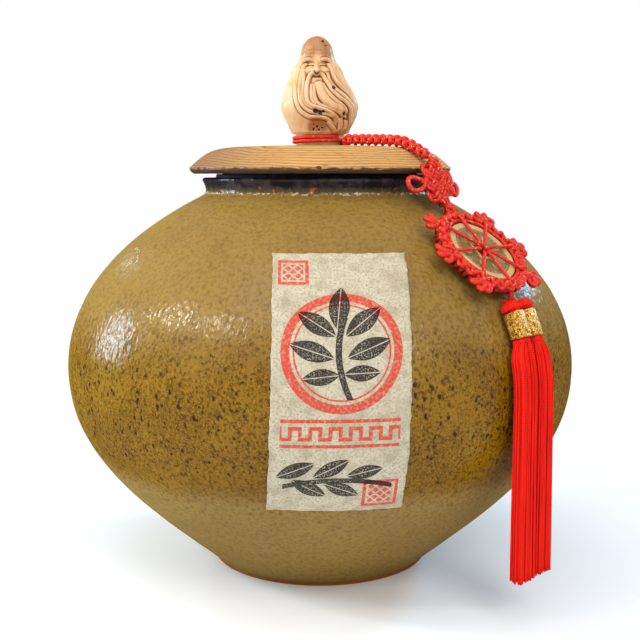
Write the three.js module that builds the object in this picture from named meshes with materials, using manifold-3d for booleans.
// Round-bellied storage jar with a plugged wooden lid, a carved finial and a knotted cord charm.
// Millimetres, +Z up, front towards -Y, origin in the middle of the foot's underside.

import * as THREE from "three";
import { mergeVertices } from "three/addons/utils/BufferGeometryUtils.js";
import Module from "manifold-3d";

const wasm = await Module();
wasm.setup();

// Fits
const restGap = 0.3; // between pieces that rest on or in each other
const labelGap = 0.3; // between the jar and the label's paste side
const charmGap = 1.3; // between the jar and anything on the cord, so that it also clears the label
const loopGap = 0.45; // between neighbouring turns of one cord

// Jar
const bellyRadius = 140;
const bellyHeight = 110;
const rimHeight = 213;
const rimRadius = 65.7;
const mouthRadius = 58.3;
const mouthChamfer = 2.2;
const neckRadius = 63;
const neckDrop = 7.6; // the narrowest place, below the rim
const shoulderTopRadius = 65.4;
const shoulderDrop = 9.6; // where the shoulder ends, below the rim
const shoulderReach = 38; // how far the shoulder's curve is drawn out from its top end
const shoulderFall = 19;
const bellyRise = 44.7; // how long the curves stay near the belly's full width
const footRadius = 60;
const footHeight = 2.2;
const footRingWidth = 8;
const footRecess = 3.5;
const footReach = 44; // how far the lower curve is drawn out from the foot
const footLift = 37;
const wallThickness = 6;
const floorThickness = 7;
const jarSides = 48;

// Label
const labelWidth = 64;
const labelAbove = 78.5; // along the skin, up from the widest place
const labelBelow = 53;
const labelThickness = 0.4;
const labelAzimuth = 4;

// Lid
const lidRadius = 72.9;
const lidStandoff = 2.2; // gap between rim and lid, where the seal shows
const lidThickness = 15.2;
const lipThickness = 3.4;
const crownRadius = 46;
const crownDrop = 0.8;
const plugDepth = 12;
const sealThickness = 3.4; // room round the plug for the seal
const sealFlange = 3; // height of the plug's end that keeps the seal on
const sealFinDepth = 1.2;
const screwHoleRadius = 2.4;
const screwPocketRadius = 5.5;
const screwPocketDepth = 8;
const lidSides = 40;

// Screw
const screwHeadRadius = 4.2;
const screwHeadHeight = 2.6;
const screwLength = 34;
const screwSlot = 1.1;

// Carved figure: half-widths over its height, from above the waist to the crown
const figureOutline = [
  [16.1, 7], [17.5, 11], [20.9, 19.5], [20.4, 25], [17.7, 32],
  [13.9, 40], [10.3, 45.6], [9, 51], [6.4, 57], [1.8, 60.4],
];
const waistRadius = 13.4; // where the cord is wound round the foot
const figureSeatRadius = 18;
const figureLean = -1.7; // sideways at the crown
const figureDepthShare = 0.82; // depth of the body as a share of its width
const headDepthShare = 1.02;
const neckLine = 43; // height where the body's section turns into the head's
const figureColumns = 34;
const figureRows = 29;

// Cord charm
const knotAzimuth = 49; // where the cord crosses the lid's lip
const buttonAzimuth = 49.5;
const wheelAzimuth = 44;
const tasselAzimuth = 44;
const cordDiameter = 2.2;
const loopDiameter = 1.6; // thinner cord round the figure's foot
const loopTurns = 2;
const snakeHalfWidth = 3.3;
const snakeHalfHeight = 2.7;
const snakePitch = 4.6;
const knotStrands = 4;
const knotPitch = 4.7;
const knotEdge = 2.5; // from the last crossing to where a strand turns back
const knotWave = 1.5; // how far a strand rises and dips where it crosses
const knotAboveLip = 4.2; // how much of the knot lies above the lip
const buttonRadius = 3.5;
const buttonLink = 2.1; // bare cord between the button knot and the ring

// Wheel
const coinRadius = 18.8;
const coinThickness = 2.4;
const coinField = 1.5; // thickness between the raised rims
const coinRimWidth = 2.2;
const coinHole = 8;
const ringRadius = 21.9;
const ringHalfWidth = 3.7;
const ringHalfThickness = 3.3;
const ringSink = 1.4; // how far the ring's middle lies below the coin's, towards the jar
const ringWraps = 26;
const spokeCount = 8;
const spokeDiameter = 1.8;
const picotLobe = 2.6;
const picotSink = 1.6;
const picotSpread = 3.2;

// Tassels
const tasselKnotRadius = 1.6;
const tasselHeadLength = 4;
const headHalfWidth = 5.6;
const headHalfThickness = 4.8;
const bandLength = 12;
const bandThickness = 0.8;
const bandHalfWidth = 5.8;
const bandHalfThickness = 4.6;
const skirtHalfWidth = 5.9;
const skirtHalfThickness = 4.1;
const tasselTip = 22.5; // height of the cut ends above the table
const tasselFlutes = 8;

const DEGREE = Math.PI / 180;
const forms = []; // centre lines of wound cords, to measure their own gaps

function at(radius, height) {
  return new THREE.Vector2(radius, height);
}

/** Gives a named mesh with its own material. */
function piece(name, geometry, colour, roughness, metalness = 0) {
  const material = new THREE.MeshStandardMaterial({ color: colour, roughness, metalness });
  const mesh = new THREE.Mesh(geometry, material);
  mesh.name = name;
  return mesh;
}

/** Turns a closed geometry into a solid for cutting and joining. */
function solidOf(geometry) {
  const bare = geometry.clone();
  bare.deleteAttribute("normal");
  bare.deleteAttribute("uv");
  const merged = mergeVertices(bare, 1e-4);
  const mesh = new wasm.Mesh({
    numProp: 3,
    vertProperties: new Float32Array(merged.attributes.position.array),
    triVerts: new Uint32Array(merged.index.array),
  });
  return new wasm.Manifold(mesh);
}

/** Turns a solid back into a geometry. */
function geometryOf(solid) {
  const mesh = solid.getMesh();
  const geometry = new THREE.BufferGeometry();
  geometry.setAttribute("position", new THREE.BufferAttribute(mesh.vertProperties, 3));
  geometry.setIndex(new THREE.BufferAttribute(mesh.triVerts, 1));
  geometry.computeVertexNormals();
  return geometry;
}

/** Revolves a profile of (radius, height) points about +Z. */
function turned(profile, sides) {
  return new THREE.LatheGeometry(profile, sides).rotateX(Math.PI / 2);
}

/** Joins rings of points, each counterclockwise about the direction of travel, into a closed body. */
function loft(rings, closed = false) {
  const sides = rings[0].length;
  const points = rings.flat();
  const index = [];
  const spans = closed ? rings.length : rings.length - 1;
  for (let i = 0; i < spans; i += 1) {
    const low = i * sides;
    const high = ((i + 1) % rings.length) * sides;
    for (let j = 0; j < sides; j += 1) {
      const next = (j + 1) % sides;
      index.push(low + j, low + next, high + next, low + j, high + next, high + j);
    }
  }
  if (!closed) {
    const last = (rings.length - 1) * sides;
    const ends = [rings[0], rings[rings.length - 1]];
    for (const ring of ends) {
      const middle = new THREE.Vector3();
      ring.forEach((point) => middle.addScaledVector(point, 1 / sides));
      points.push(middle);
    }
    for (let j = 0; j < sides; j += 1) {
      const next = (j + 1) % sides;
      index.push(points.length - 2, next, j);
      index.push(points.length - 1, last + j, last + next);
    }
  }
  const geometry = new THREE.BufferGeometry().setFromPoints(points);
  geometry.setIndex(index);
  geometry.computeVertexNormals();
  return geometry;
}

/** Closes the space between two grids of points, the first one outside. */
function shell(outer, inner) {
  const rows = outer.length;
  const columns = outer[0].length;
  const points = [...outer.flat(), ...inner.flat()];
  const under = rows * columns;
  const index = [];
  const quad = (a, b, c, d) => index.push(a, b, c, a, c, d);
  for (let i = 0; i < rows - 1; i += 1) {
    for (let j = 0; j < columns - 1; j += 1) {
      const a = i * columns + j;
      quad(a, a + 1, a + columns + 1, a + columns);
      quad(under + a, under + a + columns, under + a + columns + 1, under + a + 1);
    }
  }
  for (let j = 0; j < columns - 1; j += 1) {
    const top = (rows - 1) * columns + j;
    quad(under + j, under + j + 1, j + 1, j);
    quad(top, top + 1, under + top + 1, under + top);
  }
  for (let i = 0; i < rows - 1; i += 1) {
    const left = i * columns;
    const right = left + columns - 1;
    quad(left, left + columns, under + left + columns, under + left);
    quad(under + right, under + right + columns, right + columns, right);
  }
  const geometry = new THREE.BufferGeometry().setFromPoints(points);
  geometry.setIndex(index);
  geometry.computeVertexNormals();
  return geometry;
}

/** Sweeps a round cord along a curve. */
function cordAlong(curve, diameter, steps, sides = 6) {
  const section = new THREE.Shape();
  for (let i = 0; i < sides; i += 1) {
    const angle = (i / sides) * 2 * Math.PI;
    const [x, y] = [Math.cos(angle) * diameter / 2, Math.sin(angle) * diameter / 2];
    if (i === 0) section.moveTo(x, y);
    else section.lineTo(x, y);
  }
  section.closePath();
  return new THREE.ExtrudeGeometry(section, { steps, extrudePath: curve, curveSegments: 1 });
}

/** Gives the least gap between places of one cord that aren't neighbours. */
function leastGap({ curve, diameter }) {
  const count = Math.ceil(curve.getLength() / (diameter / 4));
  const points = curve.getSpacedPoints(count);
  const skip = 10;
  let least = Infinity;
  for (let i = 0; i < points.length; i += 1) {
    for (let j = i + skip; j < points.length; j += 1) {
      least = Math.min(least, points[i].distanceTo(points[j]));
    }
  }
  return least - diameter;
}

// Skin of the jar: one curve from the belly down to the foot, one from the belly up to the neck
const bellyPoint = at(bellyRadius, bellyHeight);
const shoulderTop = at(shoulderTopRadius, rimHeight - shoulderDrop);
const glazeEdge = at(footRadius + 0.8, footHeight + 0.2);
const lowerSkin = new THREE.CubicBezierCurve(
  bellyPoint,
  at(bellyRadius, bellyHeight - bellyRise),
  at(glazeEdge.x + footReach, glazeEdge.y + footLift),
  glazeEdge,
);
const upperSkin = new THREE.CubicBezierCurve(
  bellyPoint,
  at(bellyRadius, bellyHeight + bellyRise),
  at(shoulderTop.x + shoulderReach, shoulderTop.y - shoulderFall),
  shoulderTop,
);
const upperLength = upperSkin.getLength();

/** Gives the place and outward direction of the skin, measured along it up from the belly. */
function skinAt(distance) {
  const curve = distance < 0 ? lowerSkin : upperSkin;
  const share = Math.min(Math.abs(distance) / curve.getLength(), 1);
  const point = curve.getPointAt(share);
  const tangent = curve.getTangentAt(share);
  const outward = distance < 0 ? at(-tangent.y, tangent.x) : at(tangent.y, -tangent.x);
  return { point, outward };
}

/** Gives a place that stands off from the skin. */
function offSkin(distance, gap) {
  const { point, outward } = skinAt(distance);
  return point.clone().addScaledVector(outward, gap);
}

function jarBody() {
  const floorTop = footRecess + floorThickness;
  const ringInner = footRadius - footRingWidth;
  const outside = [
    at(0, footRecess),
    at(ringInner - 1, footRecess),
    at(ringInner, 0),
    at(footRadius, 0),
    at(footRadius, footHeight),
    ...lowerSkin.getPoints(8).reverse(),
    ...upperSkin.getPoints(10).slice(1),
  ];
  const neck = new THREE.QuadraticBezierCurve(
    shoulderTop,
    at(neckRadius - 0.6, rimHeight - neckDrop),
    at(rimRadius - 0.5, rimHeight - 2.6),
  );
  const lip = new THREE.QuadraticBezierCurve(
    at(rimRadius, rimHeight - 1.6),
    at(rimRadius, rimHeight),
    at(rimRadius - 1.7, rimHeight),
  );
  const inside = [
    at(mouthRadius + mouthChamfer, rimHeight),
    at(mouthRadius, rimHeight - mouthChamfer),
    at(mouthRadius, rimHeight - shoulderDrop - 1),
  ];
  const topInside = Math.floor(upperLength * 0.97);
  const bottomInside = -lowerSkin.getLength();
  const hollowSteps = 11;
  const hollow = [];
  for (let i = 0; i <= hollowSteps; i += 1) {
    const distance = THREE.MathUtils.lerp(topInside, bottomInside, i / hollowSteps);
    hollow.push(offSkin(distance, -wallThickness));
  }
  const kept = hollow.filter((point) => point.y > floorTop + 3 && point.y < rimHeight - shoulderDrop - 3);
  const floorEdge = kept[kept.length - 1].x - 9;
  const profile = [
    ...outside,
    ...neck.getPoints(3).slice(1),
    ...lip.getPoints(2),
    ...inside,
    ...kept,
    at(floorEdge, floorTop),
    at(0, floorTop),
  ];
  return turned(profile, jarSides);
}

function paperLabel() {
  const rows = 16;
  const columns = 10;
  const sheet = (gap) => {
    const grid = [];
    for (let i = 0; i <= rows; i += 1) {
      const distance = THREE.MathUtils.lerp(-labelBelow, labelAbove, i / rows);
      const place = offSkin(distance, gap);
      const row = [];
      for (let j = 0; j <= columns; j += 1) {
        const along = (j / columns - 0.5) * labelWidth;
        const angle = labelAzimuth * DEGREE + along / place.x;
        row.push(new THREE.Vector3(place.x * Math.sin(angle), -place.x * Math.cos(angle), place.y));
      }
      grid.push(row);
    }
    return grid;
  };
  return shell(sheet(labelGap + labelThickness), sheet(labelGap));
}

// Lid: heights and its upper outline from the seat of the figure to the lip
const lidUnderside = rimHeight + lidStandoff;
const lidTop = lidUnderside + lidThickness;
const crownEdge = at(crownRadius, lidTop - crownDrop);
const lipTop = at(lidRadius - 0.2, lidUnderside + lipThickness);
const lidOgee = new THREE.CubicBezierCurve(
  crownEdge,
  at(crownRadius + 0.6 * (lidRadius - crownRadius), lidTop - 0.9),
  at(lidRadius - 7.7, lipTop.y + 6.4),
  lipTop,
);
const plugRadius = mouthRadius - restGap - sealThickness;
const flangeRadius = plugRadius + sealThickness / 2;
const plugBottom = lidUnderside - plugDepth;

function lidDisc() {
  const lip = new THREE.QuadraticBezierCurve(
    lipTop,
    at(lidRadius + 0.4, lidUnderside + lipThickness * 0.45),
    at(lidRadius - 2.6, lidUnderside),
  );
  const pocketTop = plugBottom + screwPocketDepth;
  const profile = [
    at(screwHoleRadius, pocketTop),
    at(screwPocketRadius, pocketTop),
    at(screwPocketRadius, plugBottom),
    at(flangeRadius - 1, plugBottom),
    at(flangeRadius, plugBottom + 1),
    at(flangeRadius, plugBottom + sealFlange),
    at(plugRadius, plugBottom + sealFlange),
    at(plugRadius, lidUnderside),
    ...lip.getPoints(4).reverse(),
    ...lidOgee.getPoints(10).reverse().slice(1),
    at(figureSeatRadius, lidTop),
    at(screwHoleRadius, lidTop),
    at(screwHoleRadius, pocketTop),
  ];
  return turned(profile, lidSides);
}

function sealRing() {
  const inner = plugRadius + restGap;
  const outer = mouthRadius - restGap;
  const bottom = plugBottom + sealFlange + restGap;
  const top = lidUnderside - restGap;
  const seatHeight = rimHeight - mouthChamfer / 2;
  const finHeight = (seatHeight - mouthChamfer - bottom) / 2;
  const profile = [
    at(inner, bottom),
    at(outer, bottom),
    at(outer - sealFinDepth, bottom + finHeight * 0.9),
    at(outer, bottom + finHeight),
    at(outer - sealFinDepth, bottom + finHeight * 1.8),
    at(outer + 0.8, seatHeight),
    at(outer, top),
    at(inner, top),
    at(inner, bottom),
  ];
  return turned(profile, lidSides);
}

function finialScrew() {
  const seat = plugBottom + screwPocketDepth - restGap;
  const radius = screwHoleRadius - restGap;
  const tip = seat + screwLength;
  const profile = [
    at(0, seat - screwHeadHeight),
    at(screwHeadRadius * 0.7, seat - screwHeadHeight),
    at(screwHeadRadius, seat - screwHeadHeight * 0.5),
    at(screwHeadRadius, seat),
    at(radius, seat),
    at(radius, tip - 5),
    at(0, tip),
  ];
  const slot = new THREE.BoxGeometry(2 * screwHeadRadius - 1.6, screwSlot, screwHeadHeight);
  const low = seat - screwHeadHeight;
  const cross = solidOf(slot.clone().translate(0, 0, low))
    .add(solidOf(slot.clone().rotateZ(Math.PI / 2).translate(0, 0, low)));
  return geometryOf(solidOf(turned(profile, 16)).subtract(cross));
}

// Carved figure
const loopRise = loopDiameter + loopGap;
const waistHeight = loopTurns * loopRise + loopDiameter + restGap;
const figureSpline = new THREE.SplineCurve(figureOutline.map(([width, height]) => at(width, height)));

/** A soft hill of height one. */
function hill(offset, spread) {
  return Math.exp(-0.5 * (offset / spread) ** 2);
}

/** Relief of the carving at a place: sideways from the middle of the front, and up from the foot. */
function carving(side, height, facing) {
  const front = THREE.MathUtils.smoothstep(facing, -0.1, 0.55);
  const brow = 1 * hill(height - 46.2, 1.3) * hill(Math.abs(side) - 3.4, 2.6);
  const sockets = -0.9 * hill(height - 43.6, 1.2) * hill(Math.abs(side) - 3.6, 1.6);
  const nose = 2.5 * hill(side, 1.3) * THREE.MathUtils.smoothstep(height, 38.6, 40) * hill(height - 39.5, 3.6);
  const cheeks = 0.7 * hill(Math.abs(side) - 5, 2) * hill(height - 40, 2);
  const sweep = 0.34 * (38 - height) * THREE.MathUtils.smoothstep(38 - height, 4, 20);
  const across = side - sweep;
  const within = THREE.MathUtils.smoothstep(38 - height, -2, 5) * THREE.MathUtils.smoothstep(height, 4, 13);
  const beardMass = 2 * within * hill(across, 7.5);
  const locks = 0.8 * within * hill(across, 9) * Math.cos((across / 3.4) * Math.PI);
  return front * (brow + sockets + nose + cheeks + beardMass + locks);
}

function finialFigure() {
  const waist = [at(waistRadius, 0), at(waistRadius, waistHeight)];
  const stations = [...waist, ...figureSpline.getPoints(figureRows - 1)];
  const rings = stations.map((station) => {
    const head = THREE.MathUtils.smoothstep(station.y, neckLine - 8, neckLine + 5);
    const depth = station.x * THREE.MathUtils.lerp(figureDepthShare, headDepthShare, head);
    const lean = figureLean * THREE.MathUtils.smoothstep(station.y, waistHeight, neckLine);
    const ring = [];
    for (let j = 0; j < figureColumns; j += 1) {
      const turn = (j / figureColumns) * 2 * Math.PI;
      const angle = turn - 0.5 * Math.sin(turn);
      const side = Math.sin(angle);
      const facing = Math.cos(angle);
      const ears = 1.3 * hill(station.y - 44, 2.4) * hill(Math.abs(side) - 1, 0.06) * hill(facing + 0.1, 0.35);
      const relief = carving(side * station.x, station.y, facing) + ears;
      const x = lean + side * (station.x + relief);
      const y = -facing * (depth + relief);
      ring.push(new THREE.Vector3(x, y, lidTop + restGap + station.y));
    }
    return ring;
  });
  const pilotDepth = plugBottom + screwPocketDepth + screwLength + 1 - lidTop;
  const pilot = new THREE.CylinderGeometry(screwHoleRadius, screwHoleRadius, 2 * pilotDepth, 12);
  const hole = solidOf(pilot.rotateX(Math.PI / 2).translate(0, 0, lidTop));
  return geometryOf(solidOf(loft(rings)).subtract(hole));
}

function finialLoop() {
  const stand = loopDiameter / 2 + restGap;
  const points = [];
  const count = 18 * loopTurns;
  const slack = 0.1; // of a turn, left open where the run of knots begins
  for (let i = 0; i <= count; i += 1) {
    const turn = slack / 2 + (loopTurns - slack) * (i / count);
    const angle = knotAzimuth * DEGREE + turn * 2 * Math.PI;
    const x = (waistRadius + stand) * Math.sin(angle);
    const y = -(waistRadius * figureDepthShare + stand) * Math.cos(angle);
    points.push(new THREE.Vector3(x, y, lidTop + stand + turn * loopRise));
  }
  const curve = new THREE.CatmullRomCurve3(points);
  forms.push({ name: "finial_loop_cord", curve, diameter: loopDiameter });
  return cordAlong(curve, loopDiameter, 40);
}

// Charm: everything below is drawn with x outwards from the jar's axis, y along its side and z up
const knotCore = (knotStrands - 1) / 2 * knotPitch;
const knotReach = knotCore + knotEdge;
const knotHalfThickness = knotWave + cordDiameter / 2;
const knotLength = 2 * Math.SQRT2 * (knotReach - 0.4);
const ringOuter = ringRadius + ringHalfWidth;
const ringTop = ringHalfThickness - ringSink; // above the coin's middle
const spokeHeight = coinThickness / 2 + 2 * restGap + spokeDiameter / 2; // above the coin's middle

/** Finds the value where a rising function passes zero. */
function zeroOf(rising, low, high) {
  let [a, b] = [low, high];
  for (let i = 0; i < 60; i += 1) {
    const middle = (a + b) / 2;
    if (rising(middle) < 0) a = middle;
    else b = middle;
  }
  return (a + b) / 2;
}

/** Lays the flat knot as a plank against the lid's lip and the shoulder. */
function restOfKnot() {
  const tip = at(lidRadius, lidUnderside + lipThickness * 0.6);
  const stand = knotHalfThickness + charmGap;
  const below = knotLength - knotAboveLip;
  const spread = (drop) => {
    const foot = offSkin(upperLength - drop, stand);
    return Math.sqrt(Math.max(foot.distanceToSquared(tip) - stand * stand, 0)) - below;
  };
  const drop = zeroOf(spread, 0, upperLength * 0.6);
  const foot = offSkin(upperLength - drop, stand);
  const toTip = tip.clone().sub(foot);
  const lean = Math.asin(stand / toTip.length());
  const up = toTip.clone().normalize().rotateAround(at(0, 0), -lean);
  const top = foot.clone().addScaledVector(up, knotLength);
  return { drop, foot, top, slope: Math.atan2(up.y, -up.x) };
}
const knotRest = restOfKnot();
const buttonDrop = knotRest.drop + buttonRadius + 0.8;
const wheelDrop = buttonDrop + buttonRadius + restGap + buttonLink + ringOuter;
const tasselDrop = wheelDrop + ringOuter + restGap + tasselKnotRadius + 0.4;

/** Gives a group laid on the skin, with x down the slope and z away from the jar. */
function laidOn(place, slope) {
  const group = new THREE.Group();
  group.position.set(place.x, 0, place.y);
  group.rotation.y = slope;
  return group;
}

function slopeAt(drop) {
  const { outward } = skinAt(upperLength - drop);
  return Math.atan2(outward.x, outward.y);
}

/** Gives a ring of points round a path in the plane of the charm. */
function sectionAcross(centre, along, count, radiusAt, aside = 0) {
  const outward = new THREE.Vector3(-along.y, 0, along.x);
  const sideways = new THREE.Vector3(0, -1, 0);
  const ring = [];
  for (let j = 0; j < count; j += 1) {
    const angle = (j / count) * 2 * Math.PI;
    const [thick, wide] = radiusAt(j);
    const point = new THREE.Vector3(centre.x, aside, centre.y);
    point.addScaledVector(outward, Math.cos(angle) * thick);
    point.addScaledVector(sideways, Math.sin(angle) * wide);
    ring.push(point);
  }
  return ring;
}

function snakeKnots() {
  const stand = snakeHalfHeight + restGap + 0.2;
  const start = at(waistRadius + loopDiameter + 4 * restGap, lidTop + stand);
  const points = [start, at(crownRadius * 0.72, lidTop - crownDrop * 0.4 + stand)];
  for (const share of [0.06, 0.3, 0.52]) {
    const tangent = lidOgee.getTangentAt(share);
    points.push(lidOgee.getPointAt(share).addScaledVector(at(-tangent.y, tangent.x), stand));
  }
  const down = at(Math.cos(knotRest.slope), -Math.sin(knotRest.slope));
  points.push(knotRest.top.clone().addScaledVector(down, -restGap - 0.4));
  const path = new THREE.SplineCurve(points);
  const knots = Math.round(path.getLength() / snakePitch);
  const rings = [];
  for (let i = 0; i <= knots * 2; i += 1) {
    const share = i / (knots * 2);
    const swell = i % 2 === 0 ? 0.76 : 1;
    const ends = Math.min(1, 0.45 + Math.min(share, 1 - share) * knots * 0.8);
    const scale = swell * ends;
    rings.push(sectionAcross(path.getPointAt(share), path.getTangentAt(share), 8, () => [
      snakeHalfHeight * scale,
      snakeHalfWidth * scale,
    ]));
  }
  return loft(rings);
}

/** Draws the woven knot as one cord: strands one way, a corner loop, then strands the other way. */
function wovenPath() {
  const points = [];
  const samples = 3; // per crossing
  const steps = (knotStrands - 1) * samples;
  for (const turned of [false, true]) {
    const put = (along, across, rise) => {
      const [a, b] = turned ? [across, along] : [along, across];
      points.push(new THREE.Vector3((a + b) * Math.SQRT1_2, (a - b) * Math.SQRT1_2, rise));
    };
    const first = turned ? -1 : 1;
    for (let strand = 0; strand < knotStrands; strand += 1) {
      const across = strand * knotPitch - knotCore;
      const way = strand % 2 === 0 ? first : -first;
      const riseAt = (along) => {
        const crossing = (along + knotCore) / knotPitch;
        return first * knotWave * Math.cos(Math.PI * (crossing + strand));
      };
      put(-way * knotReach, across, 0.3 * riseAt(-way * knotCore));
      for (let i = 0; i <= steps; i += 1) {
        const along = way * knotCore * (2 * (i / steps) - 1);
        put(along, across, riseAt(along));
      }
      put(way * knotReach, across, 0.3 * riseAt(way * knotCore));
      if (strand < knotStrands - 1) {
        put(way * (knotReach + knotPitch * 0.42), across + knotPitch / 2, 0);
      }
    }
    if (!turned) {
      const corner = knotReach + 3;
      put(-corner - 1.4, knotCore + 1.4, 0);
      put(-corner - 1.6, corner - 1, 0.6);
      put(-corner + 1, corner + 1.6, 0.6);
      put(-knotCore - 1.4, corner + 1.4, 0);
    }
  }
  return new THREE.CatmullRomCurve3(points);
}

function endlessKnot() {
  const curve = wovenPath();
  forms.push({ name: "endless_knot", curve, diameter: cordDiameter });
  return cordAlong(curve, cordDiameter, 132);
}

/** A wound round knot with ridges that run about its axis. */
function roundKnot(length, radius, ridges) {
  const rows = 9;
  const rings = [];
  for (let i = 0; i < rows; i += 1) {
    const polar = ((i + 0.35) / (rows - 0.3)) * Math.PI;
    const ring = [];
    for (let j = 0; j < ridges * 2; j += 1) {
      const angle = ((j + i * 0.5) / (ridges * 2)) * 2 * Math.PI;
      const ridge = j % 2 === 0 ? 1 : 0.9;
      const reach = radius * Math.sin(polar) * ridge;
      ring.push(new THREE.Vector3(-length * Math.cos(polar), reach * Math.cos(angle), reach * Math.sin(angle)));
    }
    rings.push(ring);
  }
  return loft(rings);
}

function coin() {
  const plate = (outline, hole, thickness) => {
    outline.holes.push(hole);
    const geometry = new THREE.ExtrudeGeometry(outline, { depth: thickness, bevelEnabled: false, curveSegments: 22 });
    return solidOf(geometry.translate(0, 0, -thickness / 2));
  };
  const round = (Kind, radius) => new Kind().absarc(0, 0, radius, 0, 2 * Math.PI, false);
  const square = (Kind, side) => {
    const half = side / 2;
    return new Kind([at(-half, -half), at(half, -half), at(half, half), at(-half, half)]);
  };
  const field = plate(round(THREE.Shape, coinRadius - 0.5), square(THREE.Path, coinHole), coinField);
  const rim = plate(round(THREE.Shape, coinRadius), round(THREE.Path, coinRadius - coinRimWidth), coinThickness);
  const innerSide = coinHole + 1.4 * coinRimWidth;
  const innerRim = plate(square(THREE.Shape, innerSide), square(THREE.Path, coinHole), coinThickness);
  return geometryOf(field.add(rim).add(innerRim));
}

function wheelRing() {
  const sides = 8;
  const stations = ringWraps * 2;
  const rings = [];
  for (let i = 0; i < stations; i += 1) {
    const angle = (i / stations) * 2 * Math.PI;
    const swell = i % 2 === 0 ? 1 : 0.88;
    const ring = [];
    for (let j = 0; j < sides; j += 1) {
      const around = (j / sides) * 2 * Math.PI;
      const radius = ringRadius + ringHalfWidth * swell * Math.cos(around);
      const rise = -ringSink - ringHalfThickness * swell * Math.sin(around);
      ring.push(new THREE.Vector3(radius * Math.cos(angle), radius * Math.sin(angle), rise));
    }
    rings.push(ring);
  }
  const room = new THREE.CylinderGeometry(
    coinRadius + restGap,
    coinRadius + restGap,
    coinThickness + 2 * restGap,
    48,
  );
  return geometryOf(solidOf(loft(rings, true)).subtract(solidOf(room.rotateX(Math.PI / 2))));
}

/** One spoke: over the coin's face and the ring, through the coin's hole and under the coin. */
function spokeCord(angle) {
  const inHole = coinHole / 2 - restGap - spokeDiameter / 2;
  const underEnd = ringRadius - ringHalfWidth - restGap - spokeDiameter / 2;
  const path = [
    at(ringRadius + 0.8, ringTop + restGap + spokeDiameter / 2),
    at(coinRadius - 2.4, spokeHeight),
    at(coinHole / 2 + 1.2, spokeHeight + 0.2),
    at(inHole, coinThickness / 2 + 0.5),
    at(inHole, 0),
    at(inHole, -coinThickness / 2 - 0.5),
    at(coinHole / 2 + 1.2, -spokeHeight - 0.2),
    at(underEnd, -spokeHeight),
  ];
  const points = path.map((place) => {
    return new THREE.Vector3(place.x * Math.cos(angle), place.x * Math.sin(angle), place.y);
  });
  return cordAlong(new THREE.CatmullRomCurve3(points), spokeDiameter, 14);
}

function picotKnot(angle) {
  const lobe = new THREE.SphereGeometry(picotLobe, 7, 4);
  const centre = ringOuter + restGap + picotLobe;
  let whole = null;
  for (const turn of [-1, 0, 1]) {
    const reach = turn === 0 ? picotSpread : 0.4;
    const one = solidOf(lobe.clone().translate(centre + reach, turn * picotSpread * 0.8, -picotSink));
    whole = whole === null ? one : whole.add(one);
  }
  return geometryOf(whole).rotateZ(angle);
}

// Tassels: a path that follows the skin to the belly and then hangs straight
const neckHalfThickness = bandHalfThickness - bandThickness - restGap;
const neckHalfWidth = bandHalfWidth - bandThickness - restGap;
const tasselSpacing = 2 * Math.max(skirtHalfWidth, bandHalfWidth, headHalfWidth) + restGap;
const bandStart = tasselHeadLength;
const bandEnd = tasselHeadLength + bandLength;

/** Gives the threads' half-thickness and half-width along a tassel, measured from its top. */
function tasselSize(distance) {
  if (distance < bandStart) {
    const share = distance / bandStart;
    const swell = Math.sqrt(Math.max(0.16, 1 - (1.7 * share - 0.8) ** 2));
    return [headHalfThickness * swell, headHalfWidth * swell];
  }
  if (distance < bandEnd + 0.5) return [neckHalfThickness, neckHalfWidth];
  const opening = THREE.MathUtils.smoothstep(distance, bandEnd, bandEnd + 12);
  return [
    THREE.MathUtils.lerp(neckHalfThickness + 0.2, skirtHalfThickness, opening),
    THREE.MathUtils.lerp(neckHalfWidth + 0.4, skirtHalfWidth, opening),
  ];
}

const tasselTop = tasselDrop + tasselKnotRadius + restGap;

/** Gives the centre of a tassel at a distance from its top. */
function tasselAt(distance) {
  const drop = tasselTop + distance;
  const opening = THREE.MathUtils.smoothstep(distance, bandEnd - 4, bandEnd + 10);
  const stand = charmGap + THREE.MathUtils.lerp(bandHalfThickness, skirtHalfThickness, opening);
  if (drop < upperLength) return offSkin(upperLength - drop, stand);
  return at(bellyRadius + stand, bellyHeight - (drop - upperLength));
}

function tasselRing(distance, count, sizeAt, aside) {
  const here = tasselAt(distance);
  const along = tasselAt(distance + 0.5).sub(tasselAt(distance - 0.5)).normalize();
  return sectionAcross(here, along, count, sizeAt, aside);
}

function tassel(aside) {
  const length = upperLength - tasselTop + bellyHeight - tasselTip;
  const head = [0.06, 0.25, 0.5, 0.8, 0.97].map((share) => share * bandStart);
  const neck = [bandStart, bandStart + 4, bandEnd - 3, bandEnd + 0.2];
  const skirt = [0.12, 0.25, 0.4, 0.6, 0.8, 1];
  const stations = [
    ...head,
    ...neck,
    bandEnd + 0.9,
    bandEnd + 6,
    ...skirt.map((share) => THREE.MathUtils.lerp(bandEnd, length, share)),
  ];
  const flute = (distance) => (j) => {
    const depth = j % 2 === 0 ? 1 : 0.9;
    return tasselSize(distance).map((size) => size * depth);
  };
  return loft(stations.map((distance) => tasselRing(distance, tasselFlutes * 2, flute(distance), aside)));
}

function goldBand(aside) {
  const sides = 14;
  const outer = [bandHalfThickness, bandHalfWidth];
  const inner = outer.map((size) => size - bandThickness);
  const wrap = [
    [bandStart + restGap, inner],
    [bandStart + restGap, outer],
    [bandStart + bandLength / 2, outer],
    [bandEnd - restGap, outer],
    [bandEnd - restGap, inner],
    [bandStart + bandLength / 2, inner],
  ];
  const rings = wrap.map(([distance, sizes]) => tasselRing(distance, sides, () => sizes, aside));
  return loft(rings, true);
}

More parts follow.
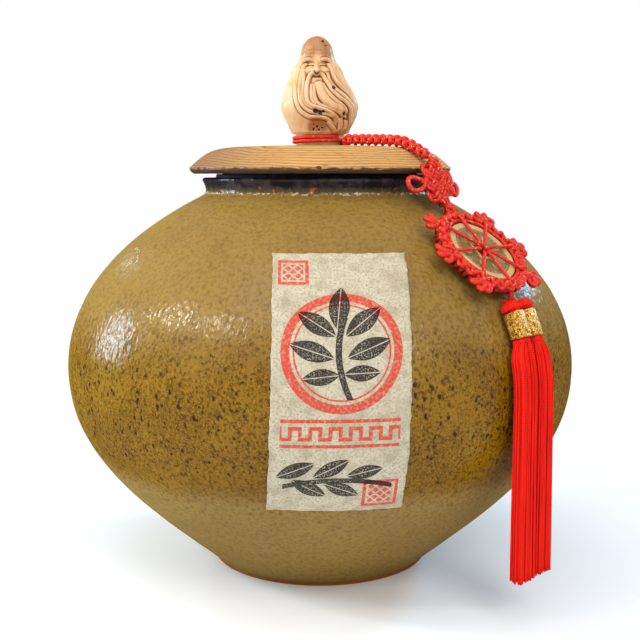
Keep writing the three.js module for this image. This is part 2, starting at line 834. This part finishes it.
// Colours
const glaze = 0x4a4228;
const paper = 0xb9a88a;
const wood = 0xb98a4c;
const paleWood = 0xd9b878;
const rubber = 0x1b1c26;
const steel = 0xa8a8a8;
const redCord = 0xa01420;
const gold = 0xc89a3a;
const bronze = 0xa8803c;

const part = new THREE.Group();
part.name = "tea_storage_jar";

part.add(piece("jar_body", jarBody(), glaze, 0.35));
part.add(piece("paper_label", paperLabel(), paper, 0.9));

const lid = new THREE.Group();
lid.name = "lid";
lid.add(piece("lid_disc", lidDisc(), wood, 0.6));
lid.add(piece("lid_seal_ring", sealRing(), rubber, 0.8));
lid.add(piece("finial_figure", finialFigure(), paleWood, 0.5));
lid.add(piece("finial_screw", finialScrew(), steel, 0.4, 1));
lid.add(piece("finial_loop_cord", finialLoop(), redCord, 0.7));
part.add(lid);

/** Gives a group with x pointing outwards at an azimuth from the front. */
function outwardsAt(azimuth, name) {
  const group = new THREE.Group();
  group.name = name;
  group.rotation.z = (azimuth - 90) * DEGREE;
  part.add(group);
  return group;
}

const knotSide = outwardsAt(knotAzimuth, "charm_at_lip");
knotSide.add(piece("snake_knot_cord", snakeKnots(), redCord, 0.7));
const knotMiddle = knotRest.foot.clone().lerp(knotRest.top, 0.5);
const knot = laidOn(knotMiddle, knotRest.slope);
knot.add(piece("endless_knot", endlessKnot(), redCord, 0.7));
knotSide.add(knot);

const button = laidOn(offSkin(upperLength - buttonDrop, buttonRadius + charmGap), slopeAt(buttonDrop));
button.add(piece("button_knot", roundKnot(buttonRadius, buttonRadius, 5), redCord, 0.7));
outwardsAt(buttonAzimuth, "charm_at_button").add(button);

const wheelStand = spokeHeight + 0.2 + spokeDiameter / 2 + charmGap;
const wheelMiddle = offSkin(upperLength - wheelDrop, wheelStand);
const wheel = laidOn(wheelMiddle, slopeAt(wheelDrop));
wheel.add(piece("coin", coin(), bronze, 0.45, 1));
wheel.add(piece("wheel_rim", wheelRing(), redCord, 0.7));
let picots = 0;
for (let i = 0; i < spokeCount; i += 1) {
  const angle = (i / spokeCount) * 2 * Math.PI;
  wheel.add(piece(`spoke_cord_${i + 1}`, spokeCord(angle), redCord, 0.7));
  if (i % (spokeCount / 2) !== 0) {
    picots += 1;
    wheel.add(piece(`picot_knot_${picots}`, picotKnot(angle), redCord, 0.7));
  }
}
outwardsAt(wheelAzimuth, "charm_at_wheel").add(wheel);

const tasselSide = outwardsAt(tasselAzimuth, "charm_at_tassels");
const tasselKnotPlace = offSkin(upperLength - tasselDrop, tasselKnotRadius + charmGap);
const tasselKnot = laidOn(tasselKnotPlace, slopeAt(tasselDrop));
const crossKnot = roundKnot(tasselKnotRadius * 2.6, tasselKnotRadius, 5).rotateZ(Math.PI / 2);
tasselKnot.add(piece("tassel_knot", crossKnot, redCord, 0.7));
tasselSide.add(tasselKnot);
for (const [side, name] of [[-1, "left"], [1, "right"]]) {
  const aside = side * tasselSpacing / 2;
  tasselSide.add(piece(`tassel_${name}`, tassel(aside), redCord, 0.75));
  tasselSide.add(piece(`gold_band_${name}`, goldBand(aside), gold, 0.4, 1));
}

/** Says where a swing's axis passes, on the outer side of the gap between two pieces. */
function sayPivot(name, place, azimuth) {
  const angle = azimuth * DEGREE;
  const point = [place.x * Math.sin(angle), -place.x * Math.cos(angle), place.y].map((v) => v.toFixed(2));
  const axis = [-Math.cos(angle), -Math.sin(angle), 0].map((v) => v.toFixed(5));
  console.log(name, "pivot", point.join(" "), "axis", axis.join(" "));
}
const knotOut = at(Math.sin(knotRest.slope), Math.cos(knotRest.slope));
const wheelSlope = slopeAt(wheelDrop);
const wheelDown = at(Math.cos(wheelSlope), -Math.sin(wheelSlope));
const wheelOut = at(Math.sin(wheelSlope), Math.cos(wheelSlope));
const edge = ringOuter + restGap / 2;
const wheelTop = wheelMiddle.clone().addScaledVector(wheelOut, ringTop).addScaledVector(wheelDown, -edge);
const wheelBottom = wheelTop.clone().addScaledVector(wheelDown, 2 * edge);
sayPivot("knot_swing", knotRest.top.clone().addScaledVector(knotOut, cordDiameter / 2), knotAzimuth);
sayPivot("wheel_swing", wheelTop, wheelAzimuth);
sayPivot("tassel_swing", wheelBottom, tasselAzimuth);
for (const form of forms) {
  console.log(form.name, "least gap to itself", leastGap(form).toFixed(2), "mm");
}

export default part;
